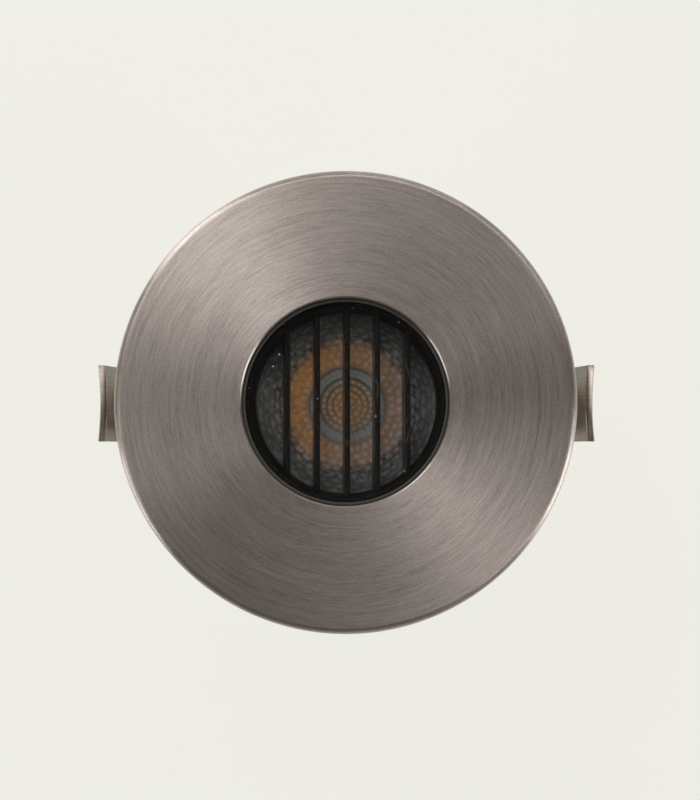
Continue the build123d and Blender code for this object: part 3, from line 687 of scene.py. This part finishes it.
def lathe(name, corners, material, turns=TURNS):
    """Closed solid turned about Z."""
    outline = rounded(corners)
    mesh = bmesh.new()
    rows = []
    for step in range(turns):
        rows.append([mesh.verts.new(around(p.x, tau * step / turns, p.y)) for p in outline])
    for step in range(turns):
        here, after = rows[step], rows[(step + 1) % turns]
        for i in range(len(outline)):
            j = (i + 1) % len(outline)
            mesh.faces.new((here[i], after[i], after[j], here[j]))
    bmesh.ops.remove_doubles(mesh, verts=mesh.verts, dist=0.0001 * MM)
    return mesh_object(name, mesh, material)


EDGE_ROUND = 1.1 * MM
UNDER_ROUND = 0.3 * MM
SKIRT_ROUND = 0.2 * MM
INNER_CHAMFER = 0.25 * MM
CHAMFER_ROUND = 0.04 * MM


def bezel_plate(material):
    """Rim plate, lip and skirt with a rounded outer edge and a fine inner chamfer."""
    lip = gasket_high.z
    corners = [
        (APERTURE_R + INNER_CHAMFER, face_z, CHAMFER_ROUND),
        (bezel_r, face_z, EDGE_ROUND),
        (bezel_r, RIM_Z, UNDER_ROUND),
        (SKIRT_R, RIM_Z, 0),
        (SKIRT_R, bezel_low.z, SKIRT_ROUND),
        (SKIRT_BORE_R, bezel_low.z, SKIRT_ROUND),
        (SKIRT_BORE_R, SEAT_Z, 0),
        (POCKET_R, SEAT_Z, 0),
        (POCKET_R, lip, 0),
        (APERTURE_R, lip, 0),
        (APERTURE_R, face_z - INNER_CHAMFER, CHAMFER_ROUND),
    ]
    return lathe("bezel_plate", corners, material)


GASKET_BORE_R = 17.35 * MM
GASKET_LIP_ROUND = 0.12 * MM
# Groove behind the gasket's lip, in millimetres: distance from the bore, depth, edge round
GASKET_GROOVE = ((0.38, 0.0, 0.05), (0.45, 0.2, 0.03), (0.6, 0.2, 0.03), (0.65, 0.0, 0.0))


def gasket_ring(material):
    """Seal ring above the glass, with a rounded inner lip and a fine groove behind it."""
    low, high = gasket_low.z, gasket_high.z
    corners = [
        (glass_r, high, 0),
        (glass_r, low, 0),
        (GASKET_BORE_R, low, 0),
        (GASKET_BORE_R, high, GASKET_LIP_ROUND),
    ]
    for step, depth, bend in GASKET_GROOVE:
        corners.append((GASKET_BORE_R + step * MM, high - depth * MM, bend * MM))
    return lathe("gasket_ring", corners, material)


GLASS_EDGE = 0.4 * MM


def window(material):
    """Round window with ground edges."""
    low, high = glass_low.z, glass_high.z
    corners = [
        (0.0, low, 0),
        (glass_r - GLASS_EDGE, low, 0),
        (glass_r, low + GLASS_EDGE, 0),
        (glass_r, high - GLASS_EDGE, 0),
        (glass_r - GLASS_EDGE, high, 0),
        (0.0, high, 0),
    ]
    return lathe("window", corners, material)


LOUVRE_TOP_ROUND = 0.3 * MM
LOUVRE_SEAT_ROUND = 0.2 * MM
OPENING_ROUND = 0.25 * MM
MOUTH_ROUND = 0.15 * MM


def louvre_ring(material):
    """Black ring with a sloped mouth around the opening."""
    top, low = louvre_high.z, louvre_low.z
    seat = low + SPIGOT_H
    corners = [
        (louvre_r, top, LOUVRE_TOP_ROUND),
        (louvre_r, seat, LOUVRE_SEAT_ROUND),
        (OPENING_R + SPIGOT_W, seat, 0),
        (OPENING_R + SPIGOT_W, low, 0),
        (OPENING_R, low, 0),
        (OPENING_R, top - MOUTH_DEPTH, OPENING_ROUND),
        (MOUTH_R, top, MOUTH_ROUND),
    ]
    return lathe("louvre_ring", corners, material)


# How far the blades' ends reach into the ring
BLADE_SINK = 0.5 * MM
# Rounds of a blade's two top edges, at its right and its left
BLADE_ROUNDS = (0.15 * MM, 0.3 * MM)


def louvre_blades(material):
    """Straight blades with rounded tops, which slope towards the lens on their left side."""
    low = louvre_low.z + SPIGOT_H
    top = louvre_high.z - BLADE_DROP
    mesh = bmesh.new()
    for index in range(BLADES):
        x = BLADE_PITCH * (index - (BLADES - 1) / 2)
        reach = sqrt((OPENING_R + BLADE_SINK) ** 2 - x**2)
        section = rounded(
            [
                (x - BLADE_FOOT / 2, low, 0),
                (x + BLADE_FOOT / 2, low, 0),
                (x + BLADE_SET + BLADE_TOP / 2, top, BLADE_ROUNDS[0]),
                (x + BLADE_SET - BLADE_TOP / 2, top, BLADE_ROUNDS[1]),
            ]
        )
        ends = [[mesh.verts.new((p.x, y, p.y)) for p in section] for y in (-reach, reach)]
        for i in range(len(section)):
            j = (i + 1) % len(section)
            mesh.faces.new((ends[0][i], ends[0][j], ends[1][j], ends[1][i]))
        for end in ends:
            mesh.faces.new(end)
    return mesh_object("louvre_blades", mesh, material)


LENS_TURNS = 684
LENS_STEP = 0.14 * MM
LENS_FLANGE_T = 1.5 * MM
# The lens's bulging side, in millimetres: radius, and depth below its front
LENS_BULGE = ((16.0, 1.5), (14.7, 5.5), (12.2, 9.5))
# Its foot and the recess over the LED, in millimetres: radius, and height above the foot
LENS_FOOT = ((7.5, 1.6), (7.5, 0.0), (5.75, 0.0), (5.75, 6.0), (2.9, 5.1))
LENS_CROWN_H = 4.8 * MM


def lens_row(mesh, radius, height):
    """Ring of vertices at a height, or on the pillowed front where no height is given."""
    row = []
    for k in range(LENS_TURNS):
        x, y, z = around(radius, tau * k / LENS_TURNS, height)
        if height is None:
            z = lens_high.z - PILLOW_RISE + PILLOW_RISE * pillow(x, y)
        row.append(mesh.verts.new((x, y, z)))
    return row


def lens_optic(material):
    """Lens with a pillowed front, a bulging side and a recess over the LED."""
    top = lens_high.z - PILLOW_RISE
    low = lens_low.z
    steps = int(lens_r / LENS_STEP)
    outline = [(lens_r * i / steps, None) for i in range(1, steps + 1)]
    outline.append((lens_r, top - LENS_FLANGE_T))
    outline += [(radius * MM, top - depth * MM) for radius, depth in LENS_BULGE]
    outline += [(radius * MM, low + height * MM) for radius, height in LENS_FOOT]
    mesh = bmesh.new()
    rows = [lens_row(mesh, radius, height) for radius, height in outline]
    centre = mesh.verts.new((0, 0, lens_high.z))
    crown = mesh.verts.new((0, 0, low + LENS_CROWN_H))
    for k in range(LENS_TURNS):
        j = (k + 1) % LENS_TURNS
        mesh.faces.new((centre, rows[0][k], rows[0][j]))
        for here, after in zip(rows, rows[1:]):
            mesh.faces.new((here[k], after[k], after[j], here[j]))
        mesh.faces.new((crown, rows[-1][j], rows[-1][k]))
    return mesh_object("lens_optic", mesh, material)


HAIRPIN_STEPS = 14
LIP_STEPS = 8


def onward(point, run, lean):
    """Point of the strip's route a run further on, in the direction of a lean."""
    length, x, z, _ = point
    return (length + run, x + run * sin(lean), z + run * cos(lean), lean)


def bend_height(hinge):
    """Height of the middle of the hairpin bend."""
    return hinge.z + CLIP_BEND_R * sin(CLIP_LEAN)


def hairpin(hinge, foot_top):
    """The strip's inner face from the foot's top to the end of the hairpin bend."""
    face_x = CLIP_FLAT_X + CLIP_T
    bend_x = face_x + CLIP_BEND_R
    bend_z = bend_height(hinge)
    route = [(0.0, face_x, foot_top, pi)]
    for step in range(HAIRPIN_STEPS + 1):
        swept = (pi - CLIP_LEAN) * step / HAIRPIN_STEPS
        x = bend_x - CLIP_BEND_R * cos(swept)
        z = bend_z - CLIP_BEND_R * sin(swept)
        route.append((foot_top - bend_z + CLIP_BEND_R * swept, x, z, pi - swept))
    return route


def clip_route(hinge, foot_top, leaf_top):
    """The strip's inner face from the foot's top to the lip: (length, x, z, lean) points.

    Lean is the angle of the strip's direction from straight up, turning outwards.
    """
    route = hairpin(hinge, foot_top)
    start = route[-1]
    leaf = (leaf_top - CLIP_LIP_L * cos(CLIP_LIP_LEAN) - start[2]) / cos(CLIP_LEAN)
    for run in (CLIP_BOW_START / 2, CLIP_BOW_START, leaf - CLIP_LIP_BEND):
        route.append(onward(start, run, CLIP_LEAN))
    for step in range(1, LIP_STEPS + 1):
        lean = CLIP_LEAN + (CLIP_LIP_LEAN - CLIP_LEAN) * step / LIP_STEPS
        route.append(onward(route[-1], 2 * CLIP_LIP_BEND / LIP_STEPS, lean))
    route.append(onward(route[-1], CLIP_LIP_L - CLIP_LIP_BEND, CLIP_LIP_LEAN))
    return route, start[0]


def along_route(route, length):
    """Place and lean at a length along the route."""
    for here, after in zip(route, route[1:]):
        if length <= after[0]:
            break
    share = (length - here[0]) / (after[0] - here[0])
    return [a + (b - a) * share for a, b in zip(here[1:], after[1:])]


CORNER_STEPS = 6
HOLE_STEPS = 40
ACROSS_STEPS = 6


def strip_outline(leaf_start, end):
    """Flat outline of the strip: rounded foot, straight sides and a tip that dips inwards."""
    half, tip = CLIP_W / 2, CLIP_TIP_W / 2
    side = []
    for step in range(CORNER_STEPS + 1):
        turn = pi / 2 * step / CORNER_STEPS
        side.append((CLIP_CORNER * (1 - cos(turn)), half - CLIP_CORNER * (1 - sin(turn))))
    side.append((leaf_start, half))
    for k in range(ACROSS_STEPS, 0, -1):
        share = k / ACROSS_STEPS
        side.append((end - CLIP_END_DIP * (1 - share**2), tip * share))
    return side + [(s, -y) for s, y in reversed(side)]


def access_hole(middle):
    """Outline of a screwdriver hole, which is round when seen along the screw."""
    long = CLIP_ACCESS_R / cos(CLIP_LEAN)
    turns = [tau * k / HOLE_STEPS for k in range(HOLE_STEPS)]
    return [(middle + long * cos(turn), CLIP_ACCESS_R * sin(turn)) for turn in turns]


def clip_sheet(route, leaf_start, hole_starts):
    """Flat sheet of the strip with its access holes, cut across at every bend."""
    mesh = bmesh.new()
    edges = []
    for loop in [strip_outline(leaf_start, route[-1][0])] + [access_hole(s) for s in hole_starts]:
        verts = [mesh.verts.new((s, y, 0)) for s, y in loop]
        edges += [mesh.edges.new((verts[i - 1], verts[i])) for i in range(len(verts))]
    bmesh.ops.triangle_fill(mesh, edges=edges, use_beauty=True)
    cuts = [(Vector((station[0], 0, 0)), Vector((1, 0, 0))) for station in route[1:-1]]
    for k in range(1 - ACROSS_STEPS, ACROSS_STEPS):
        cuts.append((Vector((0, CLIP_W / 2 * k / ACROSS_STEPS, 0)), Vector((0, 1, 0))))
    for place, normal in cuts:
        everything = list(mesh.verts) + list(mesh.edges) + list(mesh.faces)
        bmesh.ops.bisect_plane(mesh, geom=everything, plane_co=place, plane_no=normal, dist=1e-7)
    return mesh


STRIP_BEVEL = 0.1 * MM
STRIP_BEVEL_LIMIT = radians(50)


def clip_strip(side, sign, hinge, material):
    """One bent spring strip: foot, hairpin, leaf and lip, with softened edges."""
    foot_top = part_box(f"spring_foot_{side}")[1].z
    leaf_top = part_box(f"spring_leaf_{side}")[1].z
    route, leaf_start = clip_route(hinge, foot_top, leaf_top)
    screws = (foot_top - CLIP_SCREW_INSET, bend_height(hinge) + CLIP_SCREW_INSET)
    holes = [leaf_start + (z - hinge.z) / cos(CLIP_LEAN) for z in screws]
    mesh = clip_sheet(route, leaf_start, holes)
    for vert in mesh.verts:
        s, y = vert.co.x, vert.co.y
        x, z, lean = along_route(route, s)
        grow = min(1.0, max(0.0, (s - leaf_start) / CLIP_BOW_START))
        bow = CLIP_BOW * grow * (2 * y / CLIP_W) ** 2
        vert.co = (sign * (x + bow * cos(lean)), sign * y, z - bow * sin(lean))
    bmesh.ops.recalc_face_normals(mesh, faces=mesh.faces)
    strip = mesh_object(f"spring_strip_{side}", mesh, material, smooth=False)
    return thickened(strip, strip_side(strip, sign))


def thickened(strip, offset):
    """The sheet given its thickness on one side, and softened edges."""
    thick = strip.modifiers.new("thick", "SOLIDIFY")
    thick.thickness = CLIP_T
    thick.offset = offset
    thick.use_even_offset = True
    bevel = strip.modifiers.new("edges", "BEVEL")
    bevel.width = STRIP_BEVEL
    bevel.segments = 2
    bevel.limit_method = "ANGLE"
    bevel.angle_limit = STRIP_BEVEL_LIMIT
    return applied(strip)


def strip_side(strip, sign):
    """Which side of the sheet the thickness goes to, so that the foot meets the body."""
    top = max(strip.data.polygons, key=lambda face: face.center.z - abs(face.center.x))
    return 1.0 if top.normal.x * sign < 0 else -1.0


def applied(piece):
    """Turns a piece's modifiers into its mesh."""
    graph = bpy.context.evaluated_depsgraph_get()
    data = bpy.data.meshes.new_from_object(piece.evaluated_get(graph))
    piece.modifiers.clear()
    piece.data = data
    data.shade_smooth()
    data.set_sharp_from_angle(angle=SHARP)
    return piece


def seen_at(pixel, height):
    """Point at a height that shows at a pixel of the picture."""
    x = (pixel[0] - CENTRE_PX[0]) * PIXEL
    y = (CENTRE_PX[1] - pixel[1]) * PIXEL
    on_face = Vector((x, y, face_z))
    return on_face + (on_face - CAMERA_PLACE) * ((face_z - height) / CAMERA_HEIGHT)


FLAKE_SIDES = 9
FLAKE_LIFT = 0.01 * MM
FLAKE_REACH = (0.55, 1.15)
FLAKE_HEIGHT = (0.05, 0.1)


def dust_and_glint_flakes(material):
    """Irregular pale flakes that lie on the window: dust, and painted glints that stand in for
    highlights on the lens's pillows.
    """
    rng = random.Random(4)
    mesh = bmesh.new()
    for x, y, width in DUST_AND_GLINT_PX:
        middle = seen_at((x, y), glass_high.z)
        start = rng.uniform(0, tau)
        rim = []
        for k in range(FLAKE_SIDES):
            turn = start + tau * k / FLAKE_SIDES
            reach = 0.5 * width * PIXEL * rng.uniform(*FLAKE_REACH)
            rim.append(mesh.verts.new(middle + Vector(around(reach, turn, FLAKE_LIFT))))
        crown = mesh.verts.new(middle + Vector((0, 0, rng.uniform(*FLAKE_HEIGHT) * MM)))
        for k in range(FLAKE_SIDES):
            mesh.faces.new((rim[k - 1], rim[k], crown))
    return mesh_object("window_dust_and_glints", mesh, material)


def hair_lines(material):
    """Fine hairs and wipe marks on the window, as thin curves."""
    data = bpy.data.curves.new("window_hairs", "CURVE")
    data.dimensions = "3D"
    data.bevel_depth = HAIR_R
    data.bevel_resolution = 2
    data.resolution_u = 10
    for line in HAIRS_PX:
        spline = data.splines.new("NURBS")
        spline.points.add(len(line) - 1)
        for point, pixel in zip(spline.points, line):
            point.co = (*seen_at(pixel, glass_high.z + HAIR_R), 1.0)
        spline.order_u = 3
        spline.use_endpoint_u = True
    data.materials.append(material)
    return link(bpy.data.objects.new("window_hairs", data))


def finishes():
    """A finish for each of the record's material slots."""
    alloy = (0.56, 0.56, 0.57)
    made = {
        "brushed_stainless": circular_steel(),
        "spring_stainless": strip_steel(),
        "window_glass": window_glass(),
        "seal_foam": foam(),
        "lens_acrylic": lens_acrylic(),
        "louvre_black": louvre_paint(),
        "turned_aluminium": turned("turned_aluminium", shaded(alloy, 1.1), 0.3),
        "body_aluminium": turned("body_aluminium", alloy, 0.38),
        "screw_steel": plated("screw_steel", (0.6, 0.58, 0.56), 0.28),
        "gland_nickel": plated("gland_nickel", (0.6, 0.57, 0.52), 0.24),
        "standoff_brass": plated("standoff_brass", (0.72, 0.5, 0.22), 0.3),
    }
    moulds = {
        "gasket_silicone": ((0.05, 0.05, 0.043), 0.6),
        "holder_black": ((0.012, 0.012, 0.012), 0.5),
        "led_board_white": ((0.75, 0.75, 0.72), 0.4),
        "phosphor_yellow": ((0.8, 0.48, 0.05), 0.6),
        "thermal_pad_grey": ((0.3, 0.31, 0.33), 0.8),
        "lead_red": ((0.4, 0.02, 0.015), 0.45),
        "lead_black": ((0.015, 0.015, 0.015), 0.45),
        "circuit_green": ((0.02, 0.13, 0.05), 0.35),
        "ferrite_grey": ((0.05, 0.05, 0.055), 0.5),
        "capacitor_sleeve": ((0.03, 0.035, 0.06), 0.3),
        "chip_black": ((0.015, 0.015, 0.016), 0.5),
        "terminal_green": ((0.04, 0.25, 0.07), 0.4),
        "claw_nylon": ((0.02, 0.02, 0.02), 0.5),
    }
    for name, (colour, rough) in moulds.items():
        made[name] = moulded(name, colour, rough)
    return made


def dress_nodes(made):
    """Gives every CAD node the finish of its slot."""
    for node in frame["nodes"].values():
        for slot in node.material_slots:
            slot.material = made[slot.material.name]


def replace(piece, body, node):
    """Hangs a piece on a body in place of a CAD node."""
    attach(piece, body)
    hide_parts(node)


def build_front(made):
    """The pieces seen from above, and the dust, painted glints and hairs on the window."""
    steel = made["brushed_stainless"]
    black = made["louvre_black"]
    replace(bezel_plate(steel), "light", "bezel")
    replace(gasket_ring(made["gasket_silicone"]), "light", "glass_gasket")
    replace(window(made["window_glass"]), "light", "glass")
    replace(louvre_ring(black), "light", "louvre")
    replace(louvre_blades(black), "light", "louvre")
    replace(lens_optic(made["lens_acrylic"]), "light", "lens")
    # Pale flakes: dust, and painted glints of the lens's pillows
    lint_and_glint = moulded("lint_and_glint", (0.42, 0.41, 0.39), 0.9, grain=4000.0)
    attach(dust_and_glint_flakes(lint_and_glint), "light")
    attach(hair_lines(moulded("hair", (0.2, 0.19, 0.175), 0.8, grain=4000.0)), "light")


def build_clips(made):
    """The two spring strips, each bent across its joint."""
    for side, sign in (("right", 1), ("left", -1)):
        joint = next(j for j in frame["joints"] if j["child"] == f"clip_{side}")
        hinge = Vector(joint["pos_m"])
        strip = clip_strip(side, sign, hinge, made["spring_stainless"])
        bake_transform(strip)
        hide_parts(f"spring_foot_{side}", f"spring_leaf_{side}")


def camera():
    """Camera above the rim, placed so that the picture has the photograph's framing."""
    scene = bpy.context.scene
    data = bpy.data.cameras.new("camera")
    data.sensor_width = SENSOR
    data.lens = SENSOR * CAMERA_HEIGHT / (PICTURE[1] * PIXEL)
    focal_px = CAMERA_HEIGHT / PIXEL
    middle = (PICTURE[0] / 2, PICTURE[1] / 2)
    look = Vector(
        (
            (middle[0] - NADIR_PX[0]) / focal_px,
            (NADIR_PX[1] - middle[1]) / focal_px,
            -1.0,
        )
    ).normalized()
    right = look.cross(Vector((0, 1, 0))).normalized()
    up = right.cross(look)
    turn = Matrix((right, up, -look)).transposed()
    eye = link(bpy.data.objects.new("camera", data))
    eye.matrix_world = Matrix.Translation(CAMERA_PLACE) @ turn.to_4x4()
    data.clip_start = 0.05
    data.clip_end = 20.0
    scene.camera = eye


LAMP_DISTANCE = 400 * MM
LAMP_COLOUR = (1.0, 0.975, 0.945)
# Name, compass angle, height angle, width and height in degrees, brightness
LAMPS = (
    ("key", 128, 60, 18, 24, 1.4),
    ("key_wide", 135, 58, 34, 30, 1.5),
    ("key_side", 104, 60, 20, 22, 0.8),
    ("counter", 318, 56, 14, 18, 2.4),
    ("left_high", 190, 55, 16, 20, 1.8),
    ("right_high", 59, 53, 46, 24, 1.7),
    ("left_low", 203, 12, 25, 25, 3.1),
    ("right_low", 339, 8, 25, 26, 3.2),
    ("right_middle", 345, 24, 25, 18, 3.1),
    ("back_left", 133, 10, 22, 40, 1.9),
    ("back_middle", 130, 28, 22, 22, 2.0),
    ("back", 90, 3, 62, 14, 0.9),
)


def softbox(name, compass, height, wide, tall, brightness):
    """Rectangular lamp that faces the light; its brightness is what a mirror would show."""
    data = bpy.data.lights.new(name, "AREA")
    data.shape = "RECTANGLE"
    data.size = 2 * LAMP_DISTANCE * tan(radians(wide / 2))
    data.size_y = 2 * LAMP_DISTANCE * tan(radians(tall / 2))
    data.energy = brightness * data.size * data.size_y * pi
    data.color = LAMP_COLOUR
    up = LAMP_DISTANCE * sin(radians(height))
    place = Vector(around(LAMP_DISTANCE * cos(radians(height)), radians(compass), up))
    lamp = link(bpy.data.objects.new(name, data))
    lamp.location = place
    lamp.rotation_euler = (-place).to_track_quat("-Z", "Y").to_euler()
    lamp.visible_camera = False


FLOOR_COLOUR = (0.886, 0.886, 0.82)
# Share of its tone that the floor shows of itself; the rest comes from the lamps
FLOOR_GLOW = 0.9


def floor():
    """Wide pale floor below the object, which keeps a faint shadow."""
    mesh = bmesh.new()
    bmesh.ops.create_grid(mesh, x_segments=8, y_segments=8, size=4.0)
    s = Shader("floor", Roughness=0.9)
    speck = s.noise(s.place(), 40.0, 2.0)
    pale = s.mix(speck, shaded(FLOOR_COLOUR, 0.995), FLOOR_COLOUR)
    s.set(Base_Color=pale)
    glow = s.add("Emission", pale)
    pick = s.add("MixShader", s.product(s.rays("Camera", "Glossy", "Transmission"), FLOOR_GLOW))
    s.put(pick.inputs[1], s.main.outputs[0])
    s.put(pick.inputs[2], glow.outputs[0])
    s.put(s.out.inputs["Surface"], pick.outputs[0])
    ground = mesh_object("floor", mesh, s.material, smooth=False)
    ground.location.z = cad_low.z


# The sky's tone, and its tone straight above
SURROUNDINGS = (0.117, 0.106, 0.096)
OVERHEAD = (0.035, 0.033, 0.031)
# Heights in the sky, 0 at the horizon and 1 straight above: where it turns dark, and where
# the pale backdrop fades out, to the camera and in metal and glass
OVERHEAD_START = 0.92
OVERHEAD_FULL = 0.97
BACKDROP_FADE = (0.16, 0.26)
MIRRORED_FADE = (0.0, 0.08)


def studio():
    """Even, slightly warm surroundings, darker straight above, where the camera is.

    Near the horizon a pale backdrop shows to the camera and in metal and glass.
    """
    scene = bpy.context.scene
    scene.world = bpy.data.worlds.new("studio")
    scene.world.use_nodes = True
    s = Nodes(scene.world.node_tree)
    height = s.add("SeparateXYZ", s.add("TexCoord").outputs["Generated"]).outputs["Z"]
    light = s.ramp(height, (OVERHEAD_START, SURROUNDINGS), (OVERHEAD_FULL, OVERHEAD))
    seen = s.product(s.rays("Camera"), s.span(height, 1.0, 0.0, *BACKDROP_FADE))
    mirrored = s.product(s.rays("Glossy", "Transmission"), s.span(height, 1.0, 0.0, *MIRRORED_FADE))
    colour = s.mix(s.math("MAXIMUM", seen, mirrored), light, FLOOR_COLOUR)
    s.put(s.tree.nodes["Background"].inputs[0], colour)
    scene.view_settings.view_transform = "Standard"


made = finishes()
dress_nodes(made)
build_front(made)
build_clips(made)
camera()
for lamp in LAMPS:
    softbox(*lamp)
floor()
studio()
